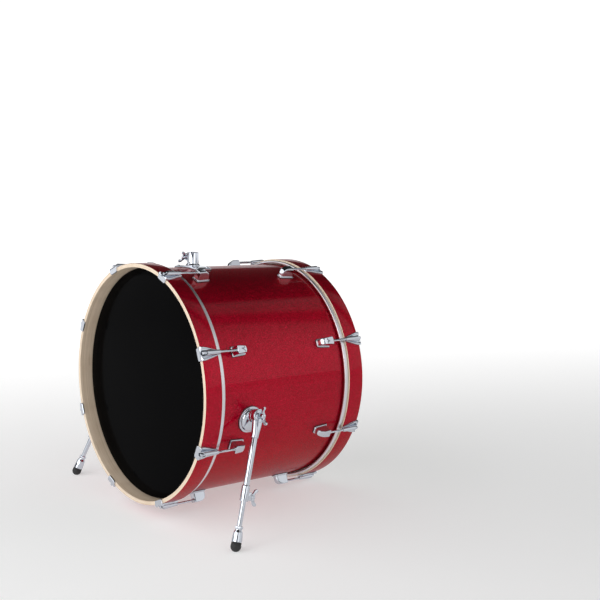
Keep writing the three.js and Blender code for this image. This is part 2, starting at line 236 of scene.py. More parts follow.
def box(name, size, place):
    """A box of that size round the middle of a place."""
    work = bmesh.new()
    bmesh.ops.create_cube(work, size=1, matrix=place @ Matrix.Diagonal((*size, 1)))
    mesh = bpy.data.meshes.new(name)
    work.to_mesh(mesh)
    work.free()
    return mesh


def joined(name, meshes, sharp=35):
    """Several meshes as one."""
    work = bmesh.new()
    for mesh in meshes:
        work.from_mesh(mesh)
    mesh = bpy.data.meshes.new(name)
    work.to_mesh(mesh)
    work.free()
    mesh.shade_smooth()
    mesh.set_sharp_from_angle(angle=math.radians(sharp))
    return mesh


def carved(name, base, steps, sharp=35):
    """The base mesh with each (operation, mesh) of the steps applied in turn."""
    body = bpy.data.objects.new(name, base)
    bpy.context.collection.objects.link(body)
    tools = []
    for operation, mesh in steps:
        tool = bpy.data.objects.new(f"{name}_tool", mesh)
        bpy.context.collection.objects.link(tool)
        modifier = body.modifiers.new(operation, "BOOLEAN")
        modifier.operation, modifier.object, modifier.solver = operation, tool, "EXACT"
        tools.append(tool)
    bpy.context.view_layer.update()
    mesh = bpy.data.meshes.new_from_object(body.evaluated_get(bpy.context.evaluated_depsgraph_get()))
    mesh.name = name
    for thing in (body, *tools):
        bpy.data.objects.remove(thing)
    return tidied(mesh, sharp)


# ---- Materials -----------------------------------------------------------------------------------

class Tree:
    """A short way to write a node tree: each call adds a node and links its inputs."""

    def __init__(self, owner, coordinates):
        owner.use_nodes = True
        self.tree = owner.node_tree
        self.place = self.add("ShaderNodeTexCoord").outputs[coordinates]

    def add(self, kind, settings=(), **inputs):
        node = self.tree.nodes.new(kind)
        for key, value in dict(settings).items():
            setattr(node, key, value)
        for key, value in inputs.items():
            self.set(node, key, value)
        return node

    def set(self, node, key, value):
        socket = node.inputs[int(key[1:]) if key[0] == "_" and key[1:].isdigit() else key.replace("_", " ")]
        if isinstance(value, bpy.types.NodeSocket):
            self.tree.links.new(value, socket)
        else:
            socket.default_value = value

    def math(self, operation, a, b=0.0):
        return self.add("ShaderNodeMath", {"operation": operation}, _0=a, _1=b).outputs[0]

    def edge(self, value, start, end, low=0.0, high=1.0):
        """Runs smoothly from low to high as the value goes from start to end."""
        return self.add("ShaderNodeMapRange", {"interpolation_type": "SMOOTHSTEP"}, Value=value,
                        From_Min=start, From_Max=end, To_Min=low, To_Max=high).outputs["Result"]


class Nodes(Tree):
    """The node tree of a new material."""

    def __init__(self, name):
        self.material = bpy.data.materials.new(name)
        super().__init__(self.material, "Object")
        self.shader = self.tree.nodes["Principled BSDF"]

    def scaled(self, scale):
        """The object's own coordinates, in metres, stretched by a vector."""
        return self.add("ShaderNodeMapping", Vector=self.place, Scale=scale).outputs[0]

    def noise(self, scale, vector=None, detail=3.0, roughness=0.55):
        node = self.add("ShaderNodeTexNoise", Scale=scale, Detail=detail, Roughness=roughness)
        self.set(node, "Vector", vector or self.place)
        return node.outputs["Fac"]

    def ramp(self, fac, *stops):
        node = self.add("ShaderNodeValToRGB", Fac=fac)
        elements = node.color_ramp.elements
        while len(elements) < len(stops):
            elements.new(0.5)
        for element, (position, colour) in zip(elements, stops):
            element.position = position
            element.color = (*colour, 1) if len(colour) == 3 else (colour[0],) * 3 + (1,)
        return node.outputs["Color"]

    def between(self, fac, low, high):
        """A number that runs from low to high as fac goes from 0 to 1."""
        node = self.add("ShaderNodeMapRange", Value=fac, To_Min=low, To_Max=high)
        return node.outputs["Result"]

    def bump(self, height, strength, distance):
        return self.add("ShaderNodeBump", Height=height, Strength=strength, Distance=distance).outputs[0]

    def wrapped(self, radius):
        """Coordinates round the drum: metres of arc, metres along, metres out."""
        split = self.add("ShaderNodeSeparateXYZ", Vector=self.place).outputs
        arc = self.math("MULTIPLY", self.math("ARCTAN2", split["Z"], split["X"]), radius)
        out = self.math("SQRT", self.math("ADD", self.math("POWER", split["X"], 2.0),
                                          self.math("POWER", split["Z"], 2.0)))
        return self.add("ShaderNodeCombineXYZ", X=arc, Y=split["Y"], Z=out).outputs[0]

    def finish(self, **inputs):
        for key, value in inputs.items():
            self.set(self.shader, key, value)
        return self.material


def red_sparkle():
    """Crimson lacquer with fine metal flake under a clear coat."""
    n = Nodes("red_sparkle")
    flakes = n.add("ShaderNodeTexVoronoi", Vector=n.place, Scale=1300.0)
    tone = n.add("ShaderNodeSeparateColor", Color=flakes.outputs["Color"]).outputs[0]
    cloud = n.noise(9.0)
    fac = n.math("ADD", n.math("MULTIPLY", tone, 0.8), n.math("MULTIPLY", cloud, 0.2))
    colour = n.ramp(fac, (0.0, (0.17, 0.0005, 0.005)), (0.55, (0.41, 0.0012, 0.017)),
                    (1.0, (0.84, 0.010, 0.055)))
    tilt = n.add("ShaderNodeVectorMath", {"operation": "MULTIPLY_ADD"}, _0=flakes.outputs["Color"],
                 _1=(0.4, 0.4, 0.4), _2=(-0.2, -0.2, -0.2)).outputs[0]
    normal = n.add("ShaderNodeNewGeometry").outputs["Normal"]
    leaning = n.add("ShaderNodeVectorMath", {"operation": "ADD"}, _0=tilt, _1=normal).outputs[0]
    flake = n.add("ShaderNodeVectorMath", {"operation": "NORMALIZE"}, _0=leaning).outputs[0]
    return n.finish(
        Base_Color=colour, Normal=flake, Metallic=0.84, Roughness=0.36, Specular_IOR_Level=0.1,
        Specular_Tint=(0.55, 0.03, 0.07, 1), Coat_Weight=0.45, Coat_Roughness=0.015, Coat_IOR=1.42)


def maple(name, light, dark, radius):
    """Pale maple with its grain running round the drum, under a satin finish."""
    n = Nodes(name)
    place = n.wrapped(radius)
    grain = n.add("ShaderNodeMapping", Vector=place, Scale=(6.0, 260.0, 420.0)).outputs[0]
    fine = n.add("ShaderNodeMapping", Vector=place, Scale=(30.0, 1400.0, 1400.0)).outputs[0]
    figure = n.add("ShaderNodeMapping", Vector=place, Scale=(26.0, 7.0, 20.0)).outputs[0]
    streak = n.noise(1.0, grain, 4.0)
    pores = n.noise(1.0, fine, 2.0)
    ripple = n.noise(1.0, figure, 2.0)
    fac = n.math("ADD", n.math("MULTIPLY", streak, 0.55),
                 n.math("ADD", n.math("MULTIPLY", pores, 0.2), n.math("MULTIPLY", ripple, 0.25)))
    colour = n.ramp(fac, (0.3, dark), (0.55, light), (0.8, tuple(min(1.0, c * 1.12) for c in light)))
    return n.finish(Base_Color=colour, Roughness=n.between(streak, 0.42, 0.55),
                    Normal=n.bump(pores, 0.25, 0.0004), Coat_Weight=0.25, Coat_Roughness=0.25)


def film(name, colour, shade, roughness, specular, bumps):
    """Drumhead film: an even colour with a faint cloud in it, and a fine surface texture."""
    n = Nodes(name)
    cloud = n.noise(7.0)
    texture = n.noise(bumps[0], detail=2.0)
    return n.finish(Base_Color=n.ramp(cloud, (0.3, shade), (0.7, colour)),
                    Roughness=n.between(texture, roughness[0], roughness[1]),
                    Specular_IOR_Level=specular, Normal=n.bump(texture, bumps[1], bumps[2]))


def plated(name, colour, shade, roughness, smudge=14.0):
    """Bright plating: mirror metal with a slight haze and faint polishing marks."""
    n = Nodes(name)
    haze = n.noise(smudge, detail=4.0)
    marks = n.noise(1.0, n.scaled((900.0, 60.0, 900.0)), 2.0)
    return n.finish(Base_Color=n.ramp(haze, (0.25, shade), (0.75, colour)), Metallic=1.0,
                    Roughness=n.between(haze, roughness[0], roughness[1]),
                    Normal=n.bump(marks, 0.02, 0.0002))


def brushed_ring():
    """Satin aluminium, brushed round the drum."""
    n = Nodes("flesh_hoop_aluminium")
    stretched = n.add("ShaderNodeMapping", Vector=n.wrapped(0.288), Scale=(5.0, 2600.0, 2600.0)).outputs[0]
    brushing = n.noise(1.0, stretched, 3.0)
    return n.finish(Base_Color=n.ramp(brushing, (0.3, (0.62, 0.62, 0.65)), (0.7, (0.86, 0.86, 0.89))),
                    Metallic=1.0, Roughness=n.between(brushing, 0.26, 0.4),
                    Normal=n.bump(brushing, 0.12, 0.0002))


def rubber():
    n = Nodes("black_rubber")
    mottle = n.noise(500.0, detail=3.0)
    return n.finish(Base_Color=n.ramp(mottle, (0.3, (0.010, 0.010, 0.011)), (0.7, (0.026, 0.026, 0.027))),
                    Roughness=n.between(mottle, 0.55, 0.75), Normal=n.bump(mottle, 0.2, 0.0003))


RED = red_sparkle()
HOOP_INNER = maple("hoop_maple", (0.74, 0.60, 0.46), (0.55, 0.41, 0.28), 0.287)
HOOP_EDGE = maple("hoop_edge_maple", (0.80, 0.66, 0.51), (0.62, 0.47, 0.33), 0.287)
SHELL_WOOD = maple("shell_maple", (0.62, 0.47, 0.31), (0.44, 0.31, 0.19), 0.275)
BLACK_FILM = film("black_head_film", (0.0015, 0.0015, 0.0017), (0.001, 0.001, 0.0012), (0.10, 0.14), 0.010,
                  (900.0, 0.02, 0.0002))
WHITE_FILM = film("coated_head_film", (0.82, 0.81, 0.77), (0.76, 0.75, 0.71), (0.55, 0.72), 0.4,
                  (1500.0, 0.3, 0.0003))
ALUMINIUM = brushed_ring()
CHROME = plated("chrome", (0.63, 0.66, 0.72), (0.57, 0.60, 0.66), (0.03, 0.07))
STEEL = plated("zinc_plated_steel", (0.66, 0.66, 0.67), (0.52, 0.52, 0.53), (0.18, 0.32), 40.0)
RUBBER = rubber()


# ---- Pieces --------------------------------------------------------------------------------------

def piece(name, mesh, material, slot, body="drum", place=DRUM, stands_for=()):
    """Puts a mesh in millimetres into the scene as a named piece that rides on a body."""
    if not mesh.get("in_metres"):
        mesh.transform(MILLIMETRES)
        mesh["in_metres"] = True
        for each in material if isinstance(material, tuple) else (material,):
            mesh.materials.append(each)
    thing = bpy.data.objects.new(name, mesh)
    bpy.context.collection.objects.link(thing)
    thing.matrix_world = place
    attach(thing, body)
    if stands_for:
        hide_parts(*stands_for)
    return thing


def paint(mesh, choose):
    """Gives each face the material index that choose returns for its centre and its normal."""
    for face in mesh.polygons:
        face.material_index = choose(face.center, face.normal)


def radius_of(point):
    return math.hypot(point.x, point.z)


AROUND = 192  # sides of the shell, the hoops and the heads


def make_shell():
    inner = SHELL_RADIUS - SHELL_WALL
    start = HEAD_RECESS + 1.5
    end = LENGTH - start
    edge = [(inner, 6), (inner + 0.6, 4.4), (SHELL_RADIUS - 3.4, 0.4), (SHELL_RADIUS - 2.6, 0),
            (SHELL_RADIUS - 1.4, 0.7), (SHELL_RADIUS - 0.3, 2.2), (SHELL_RADIUS, 3.6)]
    rings = 24
    outside = [(SHELL_RADIUS, start + 3.6 + (end - start - 7.2) * k / rings) for k in range(1, rings)]
    profile = [(r, start + h) for r, h in edge] + outside + [(r, end - h) for r, h in reversed(edge)]
    tube = lathed("shell", profile, AROUND)
    hole = lathed("post_hole", [(0, 240), (12.3, 240), (12.3, 300), (0, 300)], 48,
                  Matrix.Translation((0, MOUNT_Y, 0)) @ Matrix.Rotation(math.pi / 2, 4, "X"))
    mesh = carved("shell", tube, [("DIFFERENCE", hole)])
    paint(mesh, lambda centre, normal: 0 if radius_of(centre) > SHELL_RADIUS - 0.4 else 1)
    piece("shell_wrapped", mesh, (RED, SHELL_WOOD), "red_lacquer", stands_for=["shell"])


def make_hoops():
    inner = HOOP_RADIUS - HOOP_WALL
    profile = eased([(inner, 0, 1.3), (HOOP_RADIUS, 0, 1.5), (HOOP_RADIUS, HOOP_DEPTH, 0.8),
                     (inner, HOOP_DEPTH, 0.6)], 1, 4)
    mesh = lathed("hoop", profile, AROUND, sharp=50)

    def choose(centre, normal):
        if radius_of(centre) > HOOP_RADIUS - 0.75 and 0.6 < centre.y < HOOP_DEPTH - 0.25:
            return 0
        return 2 if centre.y < 1.2 or centre.y > HOOP_DEPTH - 0.7 else 1
    paint(mesh, choose)
    looks = (RED, HOOP_INNER, HOOP_EDGE)
    piece("front_wooden_hoop", mesh, looks, "red_lacquer", stands_for=["front_hoop"])
    piece("rear_wooden_hoop", mesh, looks, "red_lacquer", place=DRUM @ TO_REAR, stands_for=["rear_hoop"])


def make_heads():
    """The film with its collar, and the metal flesh hoop that it is crimped in."""
    rim = HOOP_RADIUS - HOOP_WALL - 0.5
    top = HEAD_RECESS
    rings = [(rim * k / 10, top) for k in range(1, 10)]
    outer = [(0, top), *rings, (rim - 4.2, top), (rim - 2.4, top + 0.45), (rim - 0.9, top + 1.6),
             (rim - 0.2, top + 3.4), (rim - 0.2, HOOP_DEPTH + 6)]
    inner = [(rim - 0.2 - HEAD_FILM, HOOP_DEPTH + 6), (rim - 0.2 - HEAD_FILM, top + 3.6),
             (rim - 1.6, top + 2.2), (rim - 3.0, top + 1.1), (rim - 4.4, top + HEAD_FILM),
             (0, top + HEAD_FILM)]
    start = HOOP_DEPTH + 0.4
    flesh = eased([(rim + 0.1, start, 0.4), (FLESH_RADIUS, start, 1.6), (FLESH_RADIUS, FLESH_END, 2.2),
                   (FLESH_RADIUS - 5.4, FLESH_END, 1.0), (FLESH_RADIUS - 5.4, FLESH_END - 2.5, 0.5),
                   (rim + 0.1, FLESH_END - 4, 0.4)], 1, 4)
    ring = lathed("flesh_hoop", flesh, AROUND)
    for end, look, slot, place in (("front", BLACK_FILM, "black_film", DRUM),
                                   ("rear", WHITE_FILM, "white_film", DRUM @ TO_REAR)):
        skin_mesh = lathed(f"{end}_film", outer + inner, AROUND)
        piece(f"{end}_head_film", skin_mesh, look, slot, place=place, stands_for=[f"{end}_head"])
        piece(f"{end}_flesh_hoop", ring, ALUMINIUM, "flesh_hoop", place=place)


# ---- Lugs, claws and tension rods, modelled for the station on +X -------------------------------------

def seat_on(radius, v):
    """How far below its middle a round seat of that radius is, v to the side."""
    return math.sqrt(radius * radius - v * v) - radius


LUG_POINTS = 64


def lug_plan(inset):
    """The lug's outline as (along the drum, across), wide and nearly square towards the hoop."""
    start, end = LUG_START + inset, LUG_START + LUG_LENGTH - inset
    wide, narrow = LUG_WIDE / 2 - inset, LUG_NARROW / 2 - inset
    outline = eased([(start, -wide, 2.2), (end, -narrow, 5.5 - 0.4 * inset), (end, narrow, 5.5 - 0.4 * inset),
                     (start, wide, 2.2)], 2, 6)
    return resampled(outline, LUG_POINTS)


def lug_mesh():
    """A flange that follows the shell, and a tower that is square at the hoop side and rounded away."""
    top, flat = SHELL_RADIUS + LUG_HEIGHT, 17.0
    span = LUG_LENGTH - flat - 2.6

    def ceiling(y):
        beyond = (y - LUG_START - flat) / span
        if beyond <= 0:
            return top
        return SHELL_RADIUS + 7 + (top - SHELL_RADIUS - 7) * math.sqrt(max(0.0, 1 - min(beyond, 1.0) ** 2.2))

    def ring(inset, height):
        return [Vector((height(y, v), y, v)) for y, v in lug_plan(inset)]

    def above_seat(rise):
        return lambda y, v: SHELL_RADIUS + rise + seat_on(SHELL_RADIUS, v)

    rings = [ring(0.5, above_seat(GASKET)), ring(0, above_seat(GASKET + 0.4)), ring(0, above_seat(2.3)),
             ring(0.25, above_seat(2.9)), ring(0.8, above_seat(3.2)), ring(1.5, above_seat(3.3)),
             ring(2.0, above_seat(3.5)), ring(2.3, above_seat(4.1)), ring(2.4, above_seat(5.2))]
    foot = SHELL_RADIUS + 5.2  # where the tower's walls start
    roll = 1.4  # radius of the tower's top edge
    for k in range(1, 7):
        rings.append(ring(2.4 + 0.05 * k, lambda y, v, k=k: foot + (ceiling(y) - roll - foot) * k / 6))
    for k in range(1, 5):
        turn = math.pi / 2 * k / 4
        rings.append(ring(2.7 + roll * (1 - math.cos(turn)),
                          lambda y, v, rise=math.sin(turn): ceiling(y) - roll + roll * rise))
    for inset in (5.0, 6.4, 7.6):
        rings.append(ring(inset, lambda y, v: ceiling(y)))
    body = skin("lug", rings, sharp=30)
    bore = lathed("lug_bore", [
        (0, LUG_START - 5), (4.6, LUG_START - 5), (4.6, LUG_START + 4.5), (3.3, LUG_START + 4.6),
        (3.3, LUG_START + 26), (0, LUG_START + 26)], 32, axis_at_rod())
    return carved("lug", body, [("DIFFERENCE", bore)], 30)


def axis_at_rod():
    return Matrix.Translation((ROD_RADIUS, 0, 0))


def nut_mesh():
    """The swivel nut's collar, which shows in the mouth of the lug."""
    start = LUG_START + 0.4
    return lathed("swivel_nut", eased([
        (3.15, start, 0.3), (4.4, start, 0.5), (4.4, start + 12, 0.3), (3.15, start + 12, 0.3),
    ], 0.3, 3), 32, axis_at_rod())


# Painted shade: the lug's black gasket is real, and its rim that shows round the lug's foot also stands in
# for the shade at the lug's base.
def gasket_and_shade_under_lug_mesh():
    def ring(inset, rise):
        return [Vector((SHELL_RADIUS + rise + seat_on(SHELL_RADIUS, v), y, v)) for y, v in lug_plan(inset)]
    return skin("lug_gasket_and_shade", [
        ring(-0.3, 0.05), ring(-0.8, 0.3), ring(-0.8, GASKET - 0.25), ring(-0.3, GASKET), ring(2.5, GASKET)])


def screw_mesh(side):
    """A round-headed mounting screw with its washer, inside the shell."""
    inner = SHELL_RADIUS - SHELL_WALL - 0.1
    along = LUG_START + LUG_LENGTH / 2 + side * SCREW_OFFSET
    profile = [(0, 0), (6.8, 0), (7.0, 0.2), (7.0, 1.2), (4.6, 1.25), (4.6, 2.3), (3.7, 3.4), (2.0, 4.1),
               (0, 4.2)]
    place = Matrix(((0, -1, 0, inner), (1, 0, 0, along), (0, 0, 1, 0), (0, 0, 0, 1)))
    middle = Matrix.Translation((inner - 4.4, along, 0))
    # The two arms of the cross in the head are cut one after the other.
    cuts = [("DIFFERENCE", box("arm", size, middle)) for size in ((2.4, 1.1, 5.2), (2.4, 5.2, 1.1))]
    return carved("screw", lathed("screw", profile, 20, place), cuts)


def claw_mesh():
    """A lip over the hoop's edge, a webbed plate on top of it, and a tube for the rod with its pocket."""
    columns = 33
    web = 2.5

    def half_width(y):
        if y < 3:
            return CLAW_WIDE / 2
        return CLAW_WIDE / 2 + (5.4 - CLAW_WIDE / 2) * smooth((y - 3) / (CLAW_END - 1.5)) ** 0.9

    rows = [CLAW_FRONT + 2.6, -0.4, 1, 3, 6, 9, 12, 16, 20, 24, 28, 32, 36, 40, 43.5, 46, 47.2]
    rings = []
    for c in range(columns):
        s = math.sin(math.pi / 2 * (2 * c / (columns - 1) - 1))
        edge = 1 - math.sqrt(max(0.0, 1 - max(0.0, (abs(s) - 0.86) / 0.14) ** 2))

        def rise(y, s=s, edge=edge):
            rim = 1.5 * smooth((abs(s) - 0.55) / 0.3)
            brow = 1.7 * math.exp(-((y + 1.2) / 2.6) ** 2)
            return (web + rim + brow) * (1 - 0.62 * edge)

        def at(radius, y, inset=0.0):
            v = s * (half_width(y) - inset)
            return Vector((radius, y, v))
        lip = 2.0 * abs(s) ** 3
        ring = [at(LIP_RADIUS + 0.8 * edge + 0.4 * lip, -0.3, lip),
                at(LIP_RADIUS + 0.2 + 0.8 * edge + 0.4 * lip, CLAW_FRONT + 1.1 + 0.8 * edge, lip),
                at(LIP_RADIUS + 1.3 + 0.8 * edge + 0.4 * lip, CLAW_FRONT + 0.9 * edge, lip * 0.9)]
        ring += [at(LIP_RADIUS + reach, CLAW_FRONT + 0.9 * edge, lip * (1 - reach / 12))
                 for reach in (5, 9, 11.8)]
        crown = SEAT + seat_on(SEAT, s * CLAW_WIDE / 2)
        ring += [at(crown + 1.8, CLAW_FRONT + 0.15 + 0.9 * edge),
                 at(crown + 3.3, CLAW_FRONT + 0.8 + 0.5 * edge)]
        ring += [at(SEAT + seat_on(SEAT, s * half_width(y)) + rise(y), y) for y in rows]
        ring += [at(SEAT + seat_on(SEAT, s * 5.4) + 1.0, CLAW_END)]
        ring += [at(SEAT + seat_on(SEAT, s * half_width(y)), y) for y in (CLAW_END, 40, 30, 20, 10, 3)]
        ring += [at(crown, -0.3)]
        rings.append(ring)
    plate = skin("claw", rings, sharp=40)

    axis = axis_at_rod()
    tube = lathed("claw_tube", [
        (0, CLAW_FRONT + 0.2), (TUBE_FRONT - 0.6, CLAW_FRONT + 0.2), (TUBE_FRONT, CLAW_FRONT + 0.9),
        (TUBE_FRONT, 12), (TUBE_FRONT - 0.5, 20), (TUBE_REAR + 0.5, 34), (TUBE_REAR, 44),
        (TUBE_REAR - 0.3, 46.4), (TUBE_REAR - 1.2, 47.6), (0, 47.6)], 40, axis)
    wedge = box("wedge", (20, 40, 30), Matrix.Translation((ROD_RADIUS, 4, 0))
                @ Matrix.Rotation(math.radians(-38), 4, "Z") @ Matrix.Translation((11.2, -6, 0)))
    floor = box("below", (40, 80, 40), Matrix.Translation((SEAT - 19.2, 20, 0)))
    pocket = lathed("pocket", [(0, -12), (POCKET_RADIUS, -12), (POCKET_RADIUS, POCKET_DEPTH),
                               (0, POCKET_DEPTH)], 36, axis)
    bore = lathed("bore", [(0, 0), (3.4, 0), (3.4, 60), (0, 60)], 28, axis)
    tube = carved("claw_tube", tube, [("DIFFERENCE", wedge), ("DIFFERENCE", floor)])
    return carved("claw", plate, [("UNION", tube), ("DIFFERENCE", pocket), ("DIFFERENCE", bore)], 40)


def claw_gasket_mesh():
    """The thin black pad between the claw and the hoop, showing at the claw's edges."""
    rings = []
    for y in (1.5, 4, 8, 20, 32, 40, 43):
        half = CLAW_WIDE / 2 + 0.5 + (5.0 - CLAW_WIDE / 2) * max(0.0, (y - 4) / 42)
        across = [half * (2 * k / 12 - 1) for k in range(13)]
        low = [Vector((HOOP_RADIUS + 0.02 + seat_on(HOOP_RADIUS, v), y, v)) for v in across]
        high = [Vector((HOOP_RADIUS + 0.28 + seat_on(HOOP_RADIUS, v), y, v)) for v in reversed(across)]
        rings.append(low + high)
    return skin("claw_gasket", rings)


def rod_mesh():
    """A square key head on a round collar, a plain shaft and a cut thread."""
    axis = axis_at_rod()
    half = ROD_HEAD / 2
    outline = eased([(-half, -half), (half, -half), (half, half), (-half, half)], 0.7, 3)
    flat = Matrix(((1, 0, 0, ROD_RADIUS), (0, 0, 1, -1), (0, -1, 0, 0), (0, 0, 0, 1)))
    head = prism("head", outline, POCKET_DEPTH - 1.5, flat, 0.7)
    collar = lathed("collar", eased([
        (0, POCKET_DEPTH - 3.2, 0), (ROD_COLLAR - 0.6, POCKET_DEPTH - 3.2, 0.4),
        (ROD_COLLAR, POCKET_DEPTH - 0.4, 0.5), (0, POCKET_DEPTH - 0.4, 0),
    ], 0, 3, closed=False), 32, axis)
    shaft = lathed("shaft", [
        (0, POCKET_DEPTH - 2), (ROD_SHAFT, POCKET_DEPTH - 2), (ROD_SHAFT, THREAD_START - 0.6),
        (ROD_SHAFT - 0.45, THREAD_START + 0.4), (0, THREAD_START + 0.4)], 24, axis)
    sides, per_turn = 20, 4
    rows = int((ROD_END - THREAD_START) / THREAD_PITCH * per_turn)
    vertices, faces = [], []
    for row in range(rows + 1):
        y = THREAD_START + row * THREAD_PITCH / per_turn
        fade = min(1.0, (ROD_END - y) / 1.5)
        for n in range(sides):
            phase = (row / per_turn - n / sides) % 1.0
            crest = 1 - abs(2 * phase - 1)
            radius = (2.45 + 0.48 * crest) * (0.82 + 0.18 * fade)
            turn = math.tau * n / sides
            vertices.append(axis @ Vector((radius * math.cos(turn), y, radius * math.sin(turn))))
    for row in range(rows):
        for n in range(sides):
            m = (n + 1) % sides
            faces.append((row * sides + n, (row + 1) * sides + n, (row + 1) * sides + m, row * sides + m))
    faces += [tuple(range(sides)), tuple(range(rows * sides, (rows + 1) * sides))]
    thread = built("thread", vertices, faces, 60)
    return joined("tension_rod", [head, collar, shaft, thread], 40)


def station(k):
    """Turns a piece modelled on +X to the k-th station, counted from the right side over the top."""
    return Matrix.Rotation(-math.radians(360 / STATIONS * (k - 0.5)), 4, "Y")


def make_stations():
    meshes = {"lug": lug_mesh(), "claw": claw_mesh(), "rod": rod_mesh(), "nut": nut_mesh(),
              "lug_pad_and_shade": gasket_and_shade_under_lug_mesh(), "claw_pad": claw_gasket_mesh(),
              "screws": joined("lug_screws", [screw_mesh(-1), screw_mesh(1)])}
    for end, flip in (("front", Matrix.Identity(4)), ("rear", TO_REAR)):
        for k in range(1, STATIONS + 1):
            place = DRUM @ station(k) @ flip
            rod = f"{end}_tension_rod_{k}"
            piece(f"{end}_lug_casing_{k}", meshes["lug"], CHROME, "chrome", place=place,
                  stands_for=[f"{end}_lug_{k}"])
            # The lug's gasket. Its rim round the lug also stands in for the shade there, as painted shade.
            piece(f"{end}_lug_gasket_{k}", meshes["lug_pad_and_shade"], RUBBER, "rubber", place=place)
            piece(f"{end}_swivel_nut_{k}", meshes["nut"], STEEL, "chrome", place=place)
            piece(f"{end}_lug_screws_{k}", meshes["screws"], STEEL, "chrome", place=place)
            piece(f"{end}_claw_hook_{k}", meshes["claw"], CHROME, "chrome", place=place,
                  stands_for=[f"{end}_claw_{k}"])
            piece(f"{end}_claw_pad_{k}", meshes["claw_pad"], RUBBER, "rubber", place=place)
            piece(f"{end}_key_rod_{k}", meshes["rod"], CHROME, "chrome", rod, place, [rod])


# ---- Spurs, modelled for the right side --------------------------------------------------------------

def in_drum(point):
    """A point of the row frame, in metres, as millimetres in the drum's frame."""
    return DRUM.inverted() @ Vector(point) * 1000


def drum_direction(axis):
    return DRUM.to_3x3().inverted() @ Vector(axis)


PIVOT = in_drum(joints["right_spur_fold"]["pos_m"])
HINGE = drum_direction(joints["right_spur_fold"]["axis"]).normalized()
DOWN_LEG = drum_direction(joints["right_spur_slide"]["axis"]).normalized()
FORE = DOWN_LEG.cross(HINGE)
LEG_LENGTH = 303.2
FLANGE_ANGLE = math.radians(-10.5)  # round the shell from level
FLANGE_Y = 136
KNUCKLE_RADIUS = 16.5
KNUCKLE_HALF = 7
NECK_END = 50
TUBE_RADIUS = 7.2
LEG_BORE = 6.3
COLLAR_START, COLLAR_END, COLLAR_RADIUS = 157, 193, 9.4
CLAMP_AT = COLLAR_END - 13
INNER_RADIUS = 5.9
NUT_START, BELL_START, RUBBER_START = 247, 254, 281
RUBBER_RADIUS = 12


def frame_of(origin, x, y, z):
    """A frame with its own x, y and z axes, placed at a point."""
    return Matrix.Translation(origin) @ Matrix((x, y, z)).transposed().to_4x4()


# Each takes a lathe's Y to the direction it is named for.
ON_HINGE = frame_of(PIVOT, FORE, HINGE, FORE.cross(HINGE))
ON_LEG = frame_of(PIVOT, HINGE, DOWN_LEG, HINGE.cross(DOWN_LEG))


def wing_screw(name, origin, direction, along, span, start, reach, radius=6.0):
    """A thumbscrew: a stepped hub along a direction, and a wing of a given span across its end."""
    across = along.cross(direction).normalized()
    hub = lathed(f"{name}_hub", eased([
        (0, start, 0), (radius - 1.2, start, 0.3), (radius - 1.2, start + 2.2, 0.3),
        (radius, start + 2.6, 0.5), (radius - 0.3, reach - 4, 0.8), (radius - 1.4, reach + 3.5, 1.6),
        (0, reach + 3.9, 0),
    ], 0, 3, closed=False), 32, frame_of(origin, along, direction, across))
    depth, blades = 5.0, []
    tip = span / 2
    for hand in (1, -1):
        outline = [
            (0, reach - 8), (radius, reach - 8), (radius + 4.5, reach - 3), (tip - 2, reach + 1.0),
            (tip, reach + 5.5), (tip - 1.0, reach + 10), (tip - 5.5, reach + 10.5),
            (radius + 4.5, reach + 5), (radius, reach + 2.6), (0, reach + 2.6)]
        corners = [(x * hand, y, 1.4 if x == 0 else 3) for x, y in outline]
        blades.append(prism(f"{name}_wing", eased(corners, 2, 4), depth,
                            frame_of(origin - across * (depth / 2), along, direction, across), 1.2))
    return joined(name, [hub, *blades], 35)


def bracket_meshes():
    """The domed flange with its ratchet half, and the pad between it and the shell."""
    outward = Vector((math.cos(FLANGE_ANGLE), 0, math.sin(FLANGE_ANGLE)))
    side = Vector((-math.sin(FLANGE_ANGLE), 0, math.cos(FLANGE_ANGLE)))
    along = Vector((0, 1, 0))
    centre = outward * SHELL_RADIUS + along * FLANGE_Y

    def ring(radius, rise, follow=1.0):
        out = []
        for n in range(96):
            turn = math.tau * n / 96
            v = radius * math.sin(turn)
            out.append(centre + along * radius * math.cos(turn) + side * v
                       + outward * (rise + follow * seat_on(SHELL_RADIUS, v)))
        return out
    rings = [
        ring(31.2, GASKET), ring(31.8, GASKET + 0.2), ring(32, GASKET + 0.8), ring(32, 3.0), ring(31.7, 3.7),
        ring(31.0, 4.2), ring(30, 4.4), ring(28.6, 4.4, 0.9), ring(27.9, 4.5, 0.8), ring(27.3, 4.9, 0.7)]
    for k in range(1, 12):
        turn = math.pi / 2 * k / 12
        rings.append(ring(27.0 * math.cos(turn) ** 0.8, 4.9 + 9.4 * math.sin(turn), 0.6 * (1 - k / 12)))
    flange = skin("flange", rings)
    barrel = lathed("ratchet", eased([
        (0, -34, 0), (KNUCKLE_RADIUS - 3.0, -34, 0.5), (KNUCKLE_RADIUS - 3.0, -20, 2),
        (KNUCKLE_RADIUS, -15, 2), (KNUCKLE_RADIUS, -KNUCKLE_HALF - 0.4, 0.7), (0, -KNUCKLE_HALF - 0.4, 0),
    ], 1, 4, closed=False), 64, ON_HINGE)
    seat = SHELL_RADIUS + GASKET
    cut = lathed("inside", [(0, -50), (seat, -50), (seat, 400), (0, 400)], 256)
    bracket = carved("bracket", flange, [("UNION", barrel), ("DIFFERENCE", cut)], 30)
    pad = skin("bracket_pad", [ring(31.6, 0.05), ring(32.7, 0.25), ring(32.7, GASKET - 0.2),
                               ring(32.2, GASKET - 0.02)])
    return bracket, pad


